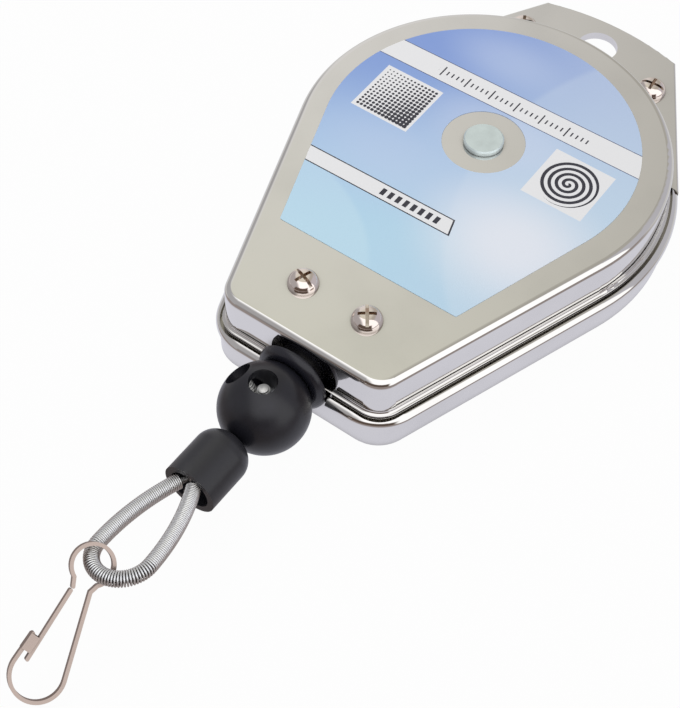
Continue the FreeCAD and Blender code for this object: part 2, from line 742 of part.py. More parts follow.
def make_cover_bushes():
    """One flanged bush in each cover, where the arbor turns."""
    inner_face, lip_top = "case_depth - sheet_thick", "sheet_thick + bush_lip"
    front_neck = rod("front_bush_neck", "bush_neck", f"{inner_face} - bush_lip", "case_depth")
    front_lip = rod("front_bush_lip", "bush_flange", f"{inner_face} - bush_lip", inner_face)
    front = fuse("front_bush_blank", [front_neck, front_lip])
    rear_neck = rod("rear_bush_neck", "bush_neck", "arbor_rear", lip_top)
    rear_lip = rod("rear_bush_lip", "bush_flange", "sheet_thick", lip_top)
    rear = fuse("rear_bush_blank", [rear_neck, rear_lip])
    bore = rod("front_bush_bore", "arbor_radius + fit_gap", "case_depth - 5", "case_depth + 1")
    finish_part(cut("front_bush_cut", front, [bore]), "front_bush")
    bore = rod("rear_bush_bore", "arbor_radius + fit_gap", "-1", f"{lip_top} + 1")
    finish_part(cut("rear_bush_cut", rear, [bore]), "rear_bush")


# ------------------------------------------------------------ drum and spring

def make_drum():
    barrel = rod("drum_barrel", "drum_radius", "drum_base", "drum_top")
    groove_low, groove_high = "rope_level - groove_wide / 2", "rope_level + groove_wide / 2"
    lower = rod("drum_lower_flange", "drum_flange", f"{groove_low} - flange_wall", groove_low)
    upper = rod("drum_upper_flange", "drum_flange", groove_high, f"{groove_high} + flange_wall")
    cavity = rod("drum_cavity", "cavity_radius", "drum_base + web_thick", "drum_top + 1")
    bore = rod("drum_bore", "drum_bush", "drum_base - 1", "drum_top")
    lid_top = "drum_top + drum_cover_thick"
    lid = rod("lid_blank", "drum_radius", "drum_top", lid_top)
    tools, screws = [], []
    for number, (side_x, side_y) in enumerate(((1, 0), (0, 1), (-1, 0), (0, -1))):
        x, y = f"{side_x} * drum_screw_out", f"{side_y} * drum_screw_out"
        foot = "drum_top - drum_screw_grip"
        tools.append(rod("drum_screw_hole", "drum_screw", foot, f"{lid_top} + 1", x, y))
        stem = rod("drum_screw_stem", "drum_screw", foot, lid_top, x, y)
        head = rod("drum_screw_top", "drum_screw_head", lid_top, f"{lid_top} + drum_screw_dome", x, y)
        screws.append(fuse(f"drum_screw_{number}", [stem, head]))
    holes = [rod("lid_bore", "drum_bush", "drum_top - 1", f"{lid_top} + 1")] + tools
    whole = fuse("drum_whole", [barrel, lower, upper])
    finish_part(cut("drum_cut", whole, [cavity, bore] + tools), "rope_drum")
    finish_part(cut("lid_cut", lid, holes), "drum_cover")
    group = doc.addObject("Part::Compound", "drum_screw_group")
    group.Links = screws
    finish_part(group, "drum_screws")
    ring("drum_bush_lower", "drum_bush", "arbor_radius + fit_gap", "drum_base - run_gap / 2",
         "drum_base + web_thick")
    ring("drum_bush_upper", "drum_bush", "arbor_radius + fit_gap", "drum_top", lid_top)


def make_mainspring():
    """A flat strip wound in a spiral from the arbor's hub to the drum's wall."""
    inner = SIZES["hub_radius"] + SIZES["strip_thick"] / 2 + SIZES["fit_gap"]
    outer = SIZES["cavity_radius"] - SIZES["strip_thick"] / 2 - SIZES["fit_gap"]
    turns = SIZES["spring_turns"]
    low = SIZES["drum_base"] + SIZES["web_thick"] + SIZES["spring_play"]
    high = low + SIZES["cavity_deep"] - 2 * SIZES["spring_play"]

    def spiral(offset):
        steps = int(turns * 16)
        points = []
        for step in range(steps + 1):
            turn = 2 * math.pi * turns * step / steps
            radius = inner + (outer - inner) * step / steps + offset
            points.append(Vector(radius * math.cos(turn), radius * math.sin(turn), low))
        curve = Part.BSplineCurve()
        curve.interpolate(points)
        return curve.toShape()

    half = SIZES["strip_thick"] / 2
    near, far = spiral(-half), spiral(half)
    ends = [Part.makeLine(near.valueAt(near.LastParameter), far.valueAt(far.LastParameter)),
            Part.makeLine(far.valueAt(far.FirstParameter), near.valueAt(near.FirstParameter))]
    strip = Part.Face(Part.Wire([near, ends[0], far, ends[1]])).extrude(Vector(0, 0, high - low))
    finish_part(shape_part("mainspring", strip), "mainspring")


def make_wound_rope():
    half = "(groove_wide / 2 - run_gap / 2)"
    low, high = f"rope_level - {half}", f"rope_level + {half}"
    ring("wound_rope", "wound_radius", "drum_radius + fit_gap", low, high)


# ---------------------------------------------------------------------- rope

def tube_along(wire_edges, outer, inner=0.0):
    """A round tube or rod swept along a chain of edges."""
    wire = Part.Wire(wire_edges)
    start = wire_edges[0]
    point = start.valueAt(start.FirstParameter)
    along = start.tangentAt(start.FirstParameter)
    solid = wire.makePipeShell([Part.Wire(Part.makeCircle(outer, point, along))], True, False)
    if inner > 0:
        solid = solid.cut(wire.makePipeShell([Part.Wire(Part.makeCircle(inner, point, along))], True, False))
    return solid


def make_rope_run():
    """The rope from the drum's edge to the guide, round one bend."""
    layer = SIZES["wound_radius"] - SIZES["rope_radius"]
    level = Vector(0, 0, SIZES["rope_level"])
    corner = Vector(0, -SIZES["bend_down"], 0) + level
    lean = math.asin(layer / SIZES["bend_down"])
    inward = Vector(math.sin(lean), math.cos(lean), 0)
    tangent_long = SIZES["bend_down"] * math.cos(lean)
    clear = SIZES["wound_radius"] + SIZES["rope_radius"] + SIZES["run_gap"] + SIZES["rope_clear"]
    start = corner + inward * (tangent_long - math.sqrt(clear ** 2 - layer ** 2))
    setback = SIZES["rope_bend"] * math.tan(lean / 2)
    before = corner + inward * setback
    after = corner + Vector(0, -setback, 0)
    centre = after + Vector(SIZES["rope_bend"], 0, 0)
    middle = centre + Vector(-math.cos(lean / 2), math.sin(lean / 2), 0) * SIZES["rope_bend"]
    foot = Vector(0, -rope_exit(), 0) + level
    edges = [
        Part.makeLine(start, before),
        Part.Arc(before, middle, after).toShape(),
        Part.makeLine(after, foot),
    ]
    finish_part(shape_part("rope_run", tube_along(edges, SIZES["rope_radius"])), "rope_run")


def guide_front():
    """How far down the outlet guide's collar ends."""
    return SIZES["case_foot"] + SIZES["pan_reach"] + SIZES["collar_gap"] + SIZES["collar_thick"]


def rope_exit():
    """How far down the fixed stretch of rope ends: inside the guide's mouth."""
    return guide_front() - SIZES["rope_inset"]


def ball_centre():
    seat = math.sqrt(SIZES["ball_radius"] ** 2 - SIZES["mouth_radius"] ** 2)
    return Vector(0, -(guide_front() + SIZES["ball_gap"] + seat), SIZES["rope_level"])


def make_ball_stop():
    """The ball, the clamp collar in it, and the two screws that hold the collar on the rope."""
    centre = ball_centre()
    along = Vector(0, -1, 0)
    ball_radius, half = SIZES["ball_radius"], SIZES["stop_half"]

    def bored(radius, reach):
        return Part.makeCylinder(radius, 2 * reach, centre - along * reach, along)

    ball = Part.makeSphere(ball_radius, centre)
    ball = ball.cut(bored(SIZES["rope_radius"] + SIZES["fit_gap"], ball_radius))
    ball = ball.cut(bored(SIZES["stop_radius"], half))
    collar = bored(SIZES["stop_radius"], half).cut(bored(SIZES["rope_radius"], half))
    lean = math.radians(SIZES["recess_turn"])
    low, high = SIZES["rope_radius"] + SIZES["screw_bite"], SIZES["stop_screw_top"]
    screws = []
    for outward in (Vector(0, 0, 1), Vector(-math.sin(lean), 0, math.cos(lean))):
        recess_foot = centre + outward * SIZES["stop_recess"]
        ball = ball.cut(Part.makeCylinder(SIZES["ball_recess"], ball_radius, recess_foot, outward))
        screw = Part.makeCylinder(SIZES["stop_screw"], high - low, centre + outward * low, outward)
        collar = collar.cut(screw)
        screws.append(screw)
    ball = ball.cut(collar)
    screws[1] = screws[1].cut(screws[0])
    finish_part(shape_part("ball_stop", ball), "ball_stop")
    finish_part(shape_part("stop_collar", collar), "stop_collar")
    finish_part(shape_part("stop_screws", Part.makeCompound(screws)), "stop_screws")


def sleeve_top():
    return ball_centre() - Vector(0, SIZES["ball_radius"] + SIZES["ball_gap"], 0)


def make_sleeve():
    top, long, cap = sleeve_top(), SIZES["sleeve_long"], SIZES["sleeve_cap"]
    along = Vector(0, -1, 0)
    sleeve = Part.makeCylinder(SIZES["sleeve_radius"], long, top, along)
    rim = [edge for edge in sleeve.Edges if abs(edge.BoundBox.YMin - top.y) < 1e-6]
    sleeve = sleeve.makeFillet(SIZES["sleeve_dome"], rim)
    sleeve = sleeve.cut(Part.makeCylinder(SIZES["sleeve_bore"], long, top + along * cap, along))
    sleeve = sleeve.cut(Part.makeCylinder(SIZES["rope_radius"] + SIZES["rope_clear"], long, top, along))
    finish_part(shape_part("end_sleeve", sleeve), "end_sleeve")


# ---------------------------------------------------------- loop and snap hook

def loop_placement():
    """The loop's own frame: X across it, -Y out of the sleeve, Z up, at the sleeve's mouth."""
    mouth = sleeve_top() + Vector(SIZES["loop_side"], -SIZES["sleeve_long"], SIZES["loop_lift"])
    turn = Rotation(Vector(0, 0, 1), SIZES["loop_yaw"])
    turn = turn.multiply(Rotation(Vector(1, 0, 0), -SIZES["loop_pitch"]))
    turn = turn.multiply(Rotation(Vector(0, 1, 0), -SIZES["loop_roll"]))
    return Placement(mouth, turn)


def loop_circle():
    """Radius of the loop's long side arcs, and how far each leans at the mouth."""
    reach = SIZES["loop_reach"]
    bulge = SIZES["loop_radius"] - SIZES["loop_mouth"]
    side = (bulge ** 2 + reach ** 2) / (2 * bulge)
    return side, math.asin(reach / side)


def loop_edges(inset):
    """Teardrop: two long side arcs and a half circle; inset moves the ends into the sleeve."""
    side, lean = loop_circle()
    centre_x = side - SIZES["loop_radius"]
    waist = Vector(-SIZES["loop_radius"], -SIZES["loop_reach"], 0)
    start = Vector(-SIZES["loop_mouth"], 0, 0)
    half = lean / 2
    middle = Vector(centre_x - side * math.cos(half), side * math.sin(half) - SIZES["loop_reach"], 0)
    tip = Vector(0, -SIZES["loop_reach"] - SIZES["loop_radius"], 0)
    inner = start + Vector(math.sin(lean), math.cos(lean), 0) * inset

    def mirror(point):
        return Vector(-point.x, point.y, point.z)

    return [
        Part.makeLine(inner, start),
        Part.Arc(start, middle, waist).toShape(),
        Part.Arc(waist, tip, mirror(waist)).toShape(),
        Part.Arc(mirror(waist), mirror(middle), mirror(start)).toShape(),
        Part.makeLine(mirror(start), mirror(inner)),
    ]


def make_loop():
    _, lean = loop_circle()
    inset = (SIZES["loop_mouth"] - SIZES["rope_radius"] - SIZES["fit_gap"]) / math.sin(lean)
    rope = tube_along(loop_edges(inset), SIZES["rope_radius"])
    guard = tube_along(loop_edges(SIZES["guard_inset"]), SIZES["guard_radius"], SIZES["guard_bore"])
    near = inset * math.cos(lean) + SIZES["rope_radius"] * math.sin(lean)
    slot = Part.makeBox(2 * (SIZES["ferrule_half"] - SIZES["ferrule_side"]), SIZES["ferrule_long"],
                        2 * SIZES["ferrule_side"])
    slot.translate(Vector(SIZES["ferrule_side"] - SIZES["ferrule_half"], near, -SIZES["ferrule_side"]))
    ferrule = slot
    for side in (-1, 1):
        end = Vector(side * (SIZES["ferrule_half"] - SIZES["ferrule_side"]), near, 0)
        edge = Part.makeCylinder(SIZES["ferrule_side"], SIZES["ferrule_long"], end, Vector(0, 1, 0))
        ferrule = ferrule.fuse(edge)
    rope = rope.cut(ferrule)
    frame = loop_placement()
    for label, shape in (("loop_rope", rope), ("loop_guard", guard), ("ferrule", ferrule.removeSplitter())):
        shape.Placement = frame.multiply(shape.Placement)
        finish_part(shape_part(label, shape), label)
    return near


def make_rope_tail(near):
    """The rope from the guide's mouth through the ball to the ferrule."""
    frame = loop_placement()
    end = frame.multVec(Vector(0, near + SIZES["ferrule_long"], 0))
    start = rope_exit() + SIZES["run_gap"]
    level = SIZES["rope_level"]
    knee = sleeve_top().y - SIZES["sleeve_cap"]
    inner_start, foot = Vector(0, -start, level), Vector(end.x, end.y + SIZES["end_gap"], end.z)
    bend = Vector(0, knee, level)
    edges = [Part.makeLine(inner_start, bend), Part.makeLine(bend, foot)]
    tail = tube_along(edges[:1], SIZES["rope_radius"]).fuse(tube_along(edges[1:], SIZES["rope_radius"]))
    finish_part(shape_part("rope_tail", tail.removeSplitter()), "rope_tail")


def eye_centre():
    """The point on the loop's rope line where the hook's eye hangs."""
    turn = math.radians(SIZES["eye_turn"])
    radius = SIZES["loop_radius"]
    return Vector(-radius * math.sin(turn), -SIZES["loop_reach"] - radius * math.cos(turn), 0)


def hook_placement():
    """The hook's own frame: X down its length, Y across it, at the middle of its eye."""
    origin = loop_placement().multVec(eye_centre())
    turn = Rotation(Vector(0, 0, 1), SIZES["hook_yaw"] - 90)
    turn = turn.multiply(Rotation(Vector(0, 1, 0), SIZES["hook_pitch"]))
    turn = turn.multiply(Rotation(Vector(1, 0, 0), SIZES["hook_roll"]))
    return Placement(origin, turn)


def polar(radius, degrees, centre=Vector()):
    turn = math.radians(degrees)
    return centre + Vector(math.cos(turn), math.sin(turn), 0) * radius


def strip_along(edges, wide):
    """A flat strip on edge that follows a chain of edges in the hook's plane."""
    around = Part.Wire(edges).makeOffset2D(SIZES["hook_thick"] / 2, 0, False, False)
    strip = Part.Face(around).extrude(Vector(0, 0, wide))
    strip.translate(Vector(0, 0, -wide / 2))
    return strip


def straight_strip(start, along, long, wide):
    """A straight strip with round ends, like those that strip_along leaves."""
    half = SIZES["hook_thick"] / 2
    bar = Part.makeBox(long, 2 * half, wide, Vector(0, -half, -wide / 2))
    for end in (0, long):
        bar = bar.fuse(Part.makeCylinder(half, wide, Vector(end, 0, -wide / 2)))
    bar = bar.removeSplitter()
    bar.Placement = Placement(start, Rotation(Vector(1, 0, 0), along))
    return bar


def gate_line():
    """Where the gate's strip starts and ends, beside the hook's throat."""
    root = Vector(SIZES["throat_down"], -SIZES["throat_half"] - SIZES["gate_root"], 0)
    along = polar(1.0, -SIZES["gate_splay"])
    return root, along


def clasp_ears():
    """Two thin cheeks, one on each side of the clasp, that guide the gate's free end."""
    ear_long, ear_thick = SIZES["ear_long"], SIZES["ear_thick"]
    half, thick = SIZES["hook_wide"] / 2, SIZES["hook_thick"]
    cheek_low = half + SIZES["ear_play"]
    root_low = half - SIZES["ear_root"] / 2
    ears = []
    for side in (-1, 1):
        cheek = Part.makeBox(ear_long, SIZES["ear_deep"], ear_thick, Vector(0, -thick / 2, cheek_low))
        root_tall = cheek_low + ear_thick - root_low
        root = Part.makeBox(ear_long, thick, root_tall, Vector(0, -thick / 2, root_low))
        ear = cheek.fuse(root)
        ears.append(ear if side > 0 else ear.mirror(Vector(), Vector(0, 0, 1)))
    return ears


def make_hook():
    radius = SIZES["eye_radius"]
    root, along = gate_line()
    left = polar(radius, -SIZES["eye_gap_left"])
    right = polar(radius, SIZES["eye_gap_right"])
    throat = Vector(SIZES["throat_down"], SIZES["throat_half"] - SIZES["throat_inset"], 0)
    pear = Vector(SIZES["pear_down"], -SIZES["pear_side"], 0)
    pear_radius = SIZES["pear_radius"]
    offset = pear - throat
    touch_turn = math.degrees(math.atan2(offset.y, offset.x) + math.asin(pear_radius / offset.Length)) + 90
    touch = polar(pear_radius, touch_turn, pear)
    clasp_turn = -90 - SIZES["clasp_lean"]
    clasp_start = polar(pear_radius, clasp_turn, pear)
    clasp_end = clasp_start + polar(SIZES["clasp_long"], clasp_turn - 90)
    middle = polar(pear_radius, (touch_turn + clasp_turn) / 2, pear)
    edges = [
        Part.makeLine(root, left),
        Part.Arc(left, Vector(-radius, 0, 0), right).toShape(),
        Part.makeLine(right, throat),
        Part.makeLine(throat, touch),
        Part.Arc(touch, middle, clasp_start).toShape(),
        Part.makeLine(clasp_start, clasp_end),
    ]
    wide = SIZES["hook_wide"]
    frame_shape = strip_along(edges, wide)
    clasp = Placement(clasp_end, Rotation(Vector(0, 0, 1), clasp_turn + 90))
    for ear in clasp_ears():
        ear.Placement = clasp
        frame_shape = frame_shape.fuse(ear)
    gate_start = root + along * (SIZES["hook_thick"] + SIZES["joint_gap"])
    gate = straight_strip(gate_start, along, SIZES["gate_long"], wide)
    frame = hook_placement()
    for label, shape in (("hook_frame", frame_shape.removeSplitter()), ("hook_gate", gate)):
        shape.Placement = frame.multiply(shape.Placement)
        finish_part(shape_part(label, shape), label)


# -------------------------------------------------------------------- output

def check_document():
    """Stop if any object failed to build."""
    for thing in doc.Objects:
        if "Invalid" in thing.State or "Error" in thing.State:
            raise RuntimeError(f"{thing.Name} failed to build")
    for thing in parts:
        if thing.Shape.isNull() or not thing.Shape.isValid() or not thing.Shape.Solids:
            raise RuntimeError(f"{thing.Label} has no valid solid")


make_front_cover()
make_rear_cover()
make_hanger_plate()
make_sticker()
make_fasteners()
make_outlet_guide()
make_arbor()
make_arbor_cap()
make_ratchet()
make_pawl()
make_cover_bushes()
make_drum()
make_mainspring()
make_wound_rope()
make_rope_run()
make_ball_stop()
make_sleeve()
make_rope_tail(make_loop())
make_hook()
doc.recompute()
check_document()
os.makedirs("parts", exist_ok=True)
for part in parts:
    part.Shape.exportStep(f"parts/{part.Label}.step")
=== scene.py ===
"""Tool balancer: finishes, wire coil, rope strands, printed face, lights, floor and camera.

Metres, in the frame's own axes: X across the case, Y to the hanger, Z out of the face.
"""

import json
import math

import bpy
from mathutils import Matrix, Vector


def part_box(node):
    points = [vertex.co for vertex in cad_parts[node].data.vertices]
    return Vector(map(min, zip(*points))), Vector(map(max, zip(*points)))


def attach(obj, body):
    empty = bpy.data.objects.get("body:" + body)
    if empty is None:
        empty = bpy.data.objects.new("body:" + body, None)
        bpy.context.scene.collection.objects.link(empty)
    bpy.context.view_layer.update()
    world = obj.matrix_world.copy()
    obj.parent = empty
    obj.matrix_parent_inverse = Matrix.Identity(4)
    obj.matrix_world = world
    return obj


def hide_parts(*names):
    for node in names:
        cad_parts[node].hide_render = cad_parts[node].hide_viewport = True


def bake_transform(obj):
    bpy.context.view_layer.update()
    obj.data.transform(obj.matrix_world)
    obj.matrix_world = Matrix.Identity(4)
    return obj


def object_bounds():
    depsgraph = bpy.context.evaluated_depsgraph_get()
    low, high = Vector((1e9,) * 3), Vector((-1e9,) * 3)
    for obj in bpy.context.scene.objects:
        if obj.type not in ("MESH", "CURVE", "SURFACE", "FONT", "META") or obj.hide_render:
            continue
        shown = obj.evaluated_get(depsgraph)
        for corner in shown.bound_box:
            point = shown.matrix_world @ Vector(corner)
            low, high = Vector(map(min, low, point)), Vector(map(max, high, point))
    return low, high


MM = 0.001

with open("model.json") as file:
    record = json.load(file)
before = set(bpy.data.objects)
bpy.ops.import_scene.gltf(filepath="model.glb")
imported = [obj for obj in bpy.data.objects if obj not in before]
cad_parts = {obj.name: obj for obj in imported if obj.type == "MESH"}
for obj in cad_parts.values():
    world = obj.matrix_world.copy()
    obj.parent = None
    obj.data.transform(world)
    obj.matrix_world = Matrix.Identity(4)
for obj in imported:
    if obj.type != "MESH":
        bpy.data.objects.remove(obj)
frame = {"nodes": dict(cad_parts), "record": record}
case_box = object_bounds()
nodes = frame["nodes"]


# ------------------------------------------------------------ shader writing

class Wire:
    """An output in a node tree that adds and multiplies like a number."""

    def __init__(self, tree, output):
        self.tree = tree
        self.output = output

    def maths(self, operation, *others):
        values = dict(enumerate((self, *others)))
        return self.tree.node("ShaderNodeMath", {"operation": operation}, values)

    def __add__(self, other):
        return self.maths("ADD", other)

    def __sub__(self, other):
        return self.maths("SUBTRACT", other)

    def __rsub__(self, other):
        return (self * -1.0) + other

    def __mul__(self, other):
        return self.maths("MULTIPLY", other)

    def __truediv__(self, other):
        return self.maths("DIVIDE", other)

    def __lt__(self, other):
        return self.maths("LESS_THAN", other)

    def __gt__(self, other):
        return self.maths("GREATER_THAN", other)

    def __abs__(self):
        return self.maths("ABSOLUTE")

    def __mod__(self, other):
        return self.maths("FLOORED_MODULO", other)

    __radd__ = __add__
    __rmul__ = __mul__

    def either(self, other):
        return self.maths("MAXIMUM", other)

    def root(self):
        return self.maths("SQRT")

    def soft_step(self, low, high):
        """0 below low and 1 above high, smooth between them."""
        values = {"Value": self, "From Min": low, "From Max": high}
        return self.tree.node("ShaderNodeMapRange", {"interpolation_type": "SMOOTHSTEP"}, values)


class Tree:
    """The nodes of one material, or of the world."""

    def __init__(self, owner):
        owner.use_nodes = True
        self.nodes = owner.node_tree.nodes
        self.links = owner.node_tree.links

    def node(self, kind, settings=None, values=None, output=0):
        """Add a node: settings first, then the values or links of its sockets."""
        made = self.nodes.new(kind)
        for name, setting in (settings or {}).items():
            setattr(made, name, setting)
        for name, value in (values or {}).items():
            self.join(made.inputs[name], value)
        return Wire(self, made.outputs[output])

    def join(self, socket, value):
        if isinstance(value, Wire):
            self.links.new(value.output, socket)
        else:
            socket.default_value = value

    def colours(self, factor, low, high):
        """Mix two colours."""
        values = {0: factor, 6: low, 7: high}
        return self.node("ShaderNodeMix", {"data_type": "RGBA"}, values, output=2)

    def rays(self):
        """Two masks: 1 for what the eye sees straight on, and 1 for what it sees in shiny surfaces."""
        outputs = self.node("ShaderNodeLightPath").output.node.outputs
        return Wire(self, outputs["Is Camera Ray"]), Wire(self, outputs["Is Glossy Ray"])

    def place(self):
        """The point on the surface, in the frame's axes."""
        return self.node("ShaderNodeTexCoord", output="Object")

    def axes(self, vector):
        """The three parts of a vector."""
        parts = self.node("ShaderNodeSeparateXYZ", values={"Vector": vector})
        outputs = parts.output.node.outputs
        return [Wire(self, outputs[name]) for name in "XYZ"]

    def stretched(self, vector, scale, turn=(0.0, 0.0, 0.0)):
        values = {"Vector": vector, "Scale": scale, "Rotation": turn}
        return self.node("ShaderNodeMapping", values=values)

    def closed_in(self, reach):
        """1 out in the open and 0 deep in a seam, a slot or a corner."""
        return self.node("ShaderNodeAmbientOcclusion", {"samples": 6}, {"Distance": reach}, output="AO")

    def noise(self, vector, scale, detail=3.0, roughness=0.5):
        values = {"Vector": vector, "Scale": scale, "Detail": detail, "Roughness": roughness}
        return self.node("ShaderNodeTexNoise", values=values)

    def bump(self, height, strength, distance):
        values = {"Height": height, "Strength": strength, "Distance": distance}
        return self.node("ShaderNodeBump", values=values)


def rgb(red, green, blue):
    return (red, green, blue, 1.0)


def shaded(tint, *shares):
    """A tint with each of its parts turned down to a share."""
    return rgb(*[part * share for part, share in zip(tint, shares)])


class Finish(Tree):
    """A material with one main shader."""

    def __init__(self, name, **values):
        self.material = bpy.data.materials.new(name)
        super().__init__(self.material)
        self.shader = self.nodes["Principled BSDF"]
        self.set(**values)

    def set(self, **values):
        for name, value in values.items():
            self.join(self.shader.inputs[name.replace("_", " ")], value)


# ------------------------------------------------------------------ finishes

SEAM_REACH = 4.0 * MM              # how far from a corner the plating's painted shade reaches
CORNER_REACH = 1.2 * MM            # the same for bare steel


def chrome(name, tint, low, high, wave, seam_shade=0.30):
    """Bright plating: faint waves, wiping marks, a few dull clouds and painted shade that darkens the
    seams.
    """
    made = Finish(name, Metallic=1.0)
    at = made.place()
    clouds = made.noise(at, 38.0, 4.0)
    wiping = made.noise(made.stretched(at, (260.0, 900.0, 260.0), (0.0, 0.0, 0.5)), 1.0, 5.0)
    dull = clouds.soft_step(0.45, 0.8)
    clean = made.colours(dull, rgb(*tint), shaded(tint, 0.93, 0.93, 0.93))
    # painted shade: the base colour goes dark where ambient occlusion finds a seam, a slot or a corner
    painted_shade = shaded(tint, seam_shade, seam_shade * 0.95, seam_shade * 0.88)
    open_air = made.closed_in(SEAM_REACH).soft_step(0.20, 0.88)
    made.set(Base_Color=made.colours(open_air, painted_shade, clean))
    rise = high - low
    made.set(Roughness=low + dull * rise * 0.6 + wiping.soft_step(0.5, 0.75) * rise * 0.4)
    made.set(Normal=made.bump(made.noise(at, 26.0, 1.0), wave, 0.0006))
    return made.material


def turned_steel(name, tint, rough, scale=900.0, metal=1.0):
    """Turned or ground steel: fine scratches over a soft shine."""
    made = Finish(name, Metallic=metal)
    at = made.place()
    lines = made.noise(made.stretched(at, (1.0, 1.0, 4.0)), scale, 2.0)
    stains = made.noise(at, 120.0, 4.0)
    clean = made.colours(stains.soft_step(0.4, 0.75), rgb(*tint), shaded(tint, 0.8, 0.8, 0.8))
    # painted shade: the base colour goes dark where ambient occlusion finds a corner
    painted_shade = shaded(tint, 0.25, 0.25, 0.25)
    open_air = made.closed_in(CORNER_REACH).soft_step(0.45, 0.75)
    made.set(Base_Color=made.colours(open_air, painted_shade, clean))
    made.set(Roughness=rough + lines * 0.16)
    made.set(Normal=made.bump(lines, 0.08, 0.0001))
    return made.material


def moulded(name, tint, rough, grain, depth):
    """Moulded rubber or plastic: fine grain, paler rubbed clouds and a faint flow."""
    made = Finish(name, IOR=1.5)
    at = made.place()
    fine = made.noise(at, grain, 3.0)
    clouds = made.noise(at, 90.0, 4.0)
    rubbed = clouds.soft_step(0.5, 0.85)
    made.set(Base_Color=made.colours(rubbed, rgb(*tint), rgb(*[part * 1.5 + 0.004 for part in tint])))
    made.set(Roughness=rough + fine * 0.08 + rubbed * 0.08)
    made.set(Normal=made.bump(fine, depth, 0.0001))
    return made.material


def bronze():
    made = Finish("bronze", Metallic=1.0)
    pores = made.noise(made.place(), 1400.0, 2.0)
    dark, light = rgb(0.22, 0.13, 0.06), rgb(0.58, 0.38, 0.17)
    made.set(Base_Color=made.colours(pores.soft_step(0.35, 0.6), dark, light))
    made.set(Roughness=0.32 + pores * 0.2, Normal=made.bump(pores, 0.2, 0.0001))
    return made.material


# The film's clouds, in millimetres on the face: centre, half sizes, edge, strength and colour.
UPPER_CLOUDS = (
    (-30.0, -22.0, 36.0, 30.0, 0.9, 0.25, (0.62, 0.74, 0.95)),
    (62.0, 4.0, 62.0, 74.0, 0.04, 0.22, (0.80, 0.90, 0.97)),
)
LOWER_CLOUDS = (
    (-8.0, -18.0, 40.0, 22.0, 0.8, 0.4, (0.58, 0.68, 0.90)),
    (26.0, -26.0, 34.0, 27.0, 0.9, 0.8, (0.90, 0.91, 0.97)),
    (2.0, 4.0, 30.0, 16.0, 0.7, 0.35, (0.72, 0.78, 0.95)),
    (-12.0, 30.0, 24.0, 13.0, 0.9, 0.3, (0.70, 0.80, 0.97)),
    (-46.0, -70.0, 52.0, 40.0, 0.05, 0.3, (0.66, 0.86, 0.95)),
)
BAND_LEAN = 0.017
BAND_LOW, BAND_HIGH, BAND_LINE = 12.7, 20.2, 0.25
SHORT_LOW, SHORT_HIGH, SHORT_LINE = -33.1, -28.3, 0.35
SHORT_END, SHORT_END_LINE, SHORT_SLANT = 9.0, 0.5, 0.3
TICK_STEP, LONG_TICK_STEP, TICK_WIDE = 1.6, 8.0, 0.42
BAR_STEP, BAR_WIDE = 2.4, 1.3
PANEL_HALF = 9.2
DOT_PANEL, DOTS_HALF, DOT_STEP = (-28.2, -0.4), 8.4, 1.2
RING_PANEL, RINGS_REACH, RING_STEP = (26.5, 0.5), 8.2, 1.9


